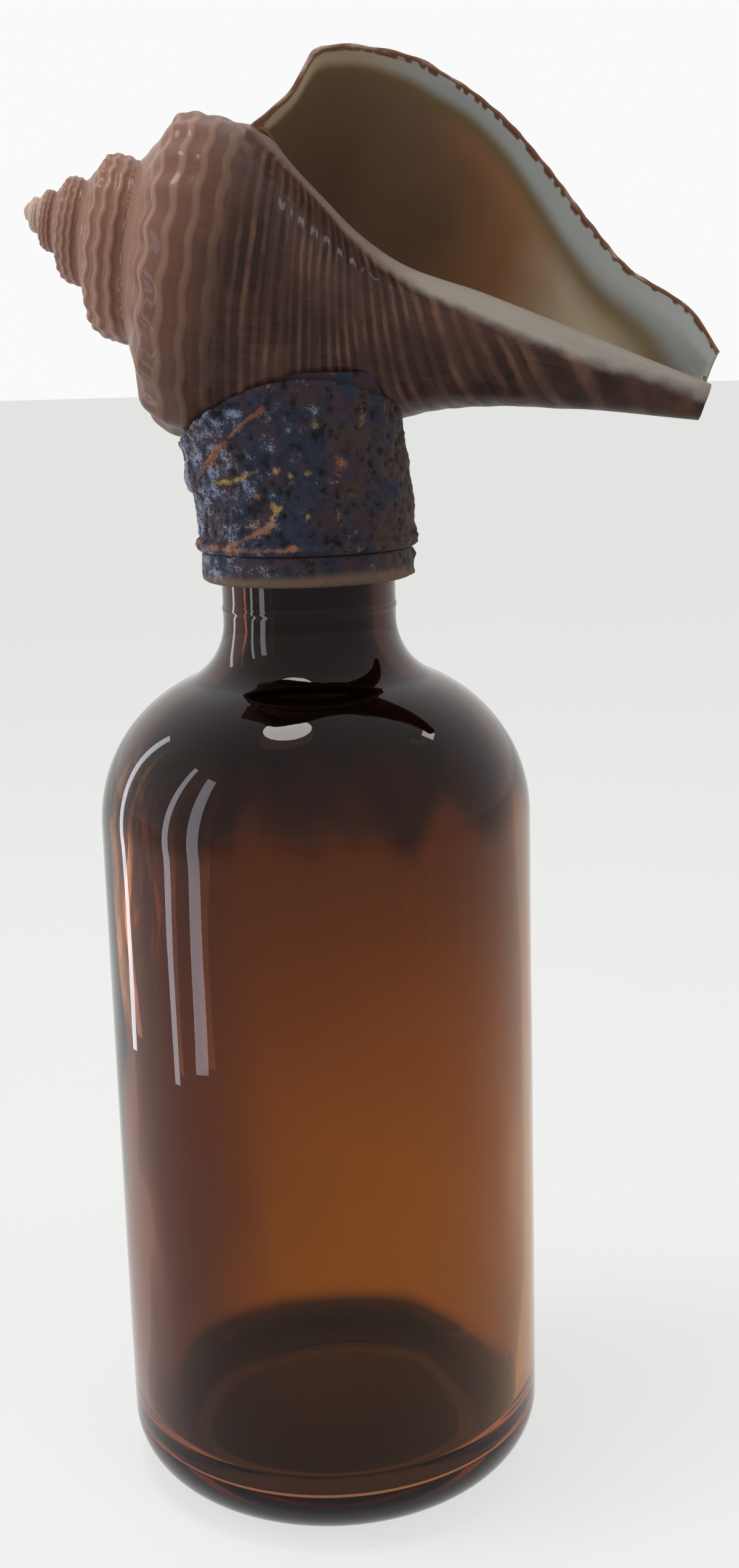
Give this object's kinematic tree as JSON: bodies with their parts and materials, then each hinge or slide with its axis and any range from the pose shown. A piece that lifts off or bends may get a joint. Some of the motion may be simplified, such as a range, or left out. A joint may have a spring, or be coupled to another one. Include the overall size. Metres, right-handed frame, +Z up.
{
  "type": "apothecary bottle",
  "caption": "Amber round-shouldered glass bottle with a screw stopper: a patinated clay column on the cap carries a whelk shell lying on its side.",
  "frame": {"origin": "the bottle's axis in the plane of its standing ring", "axes": "+Z up along the bottle's axis, +X along the shell from spire to canal, -Y where the shell's aperture faces"},
  "size_m": [0.0936, 0.0616, 0.2031],
  "materials": {
    "amber_glass": "clear amber, glossy",
    "liner_white": "soft translucent white",
    "cap_patina": "black plastic rubbed with dark metallic colour",
    "putty": "matte dark clay",
    "dark_clay": "smooth dark brown clay strip",
    "patina_clay": "pitted clay with blue-black metallic patina, copper and gold on the ridges",
    "shell": "glossy red-brown shell with pale ribs, cream aperture"
  },
  "bodies": {
    "bottle": {"bottle": "amber_glass"},
    "liner": {"cone_liner": "liner_white"},
    "stopper": {"screw_cap": "cap_patina", "clay_core": "putty", "inner_collar": "dark_clay", "wrap_sheet": "patina_clay", "wrap_flap": "patina_clay", "whelk_shell": "shell"}
  },
  "joints": [
    {"name": "stopper_lift", "type": "slide", "parent": "bottle", "child": "liner", "axis": [0, 0, 1], "range_m": [0, 0.025]},
    {"name": "stopper_turn", "type": "hinge", "parent": "liner", "child": "stopper", "pos_m": [0, 0, 0.1432], "axis": [0, 0, 1], "range_deg": [0, 450]}
  ]
}
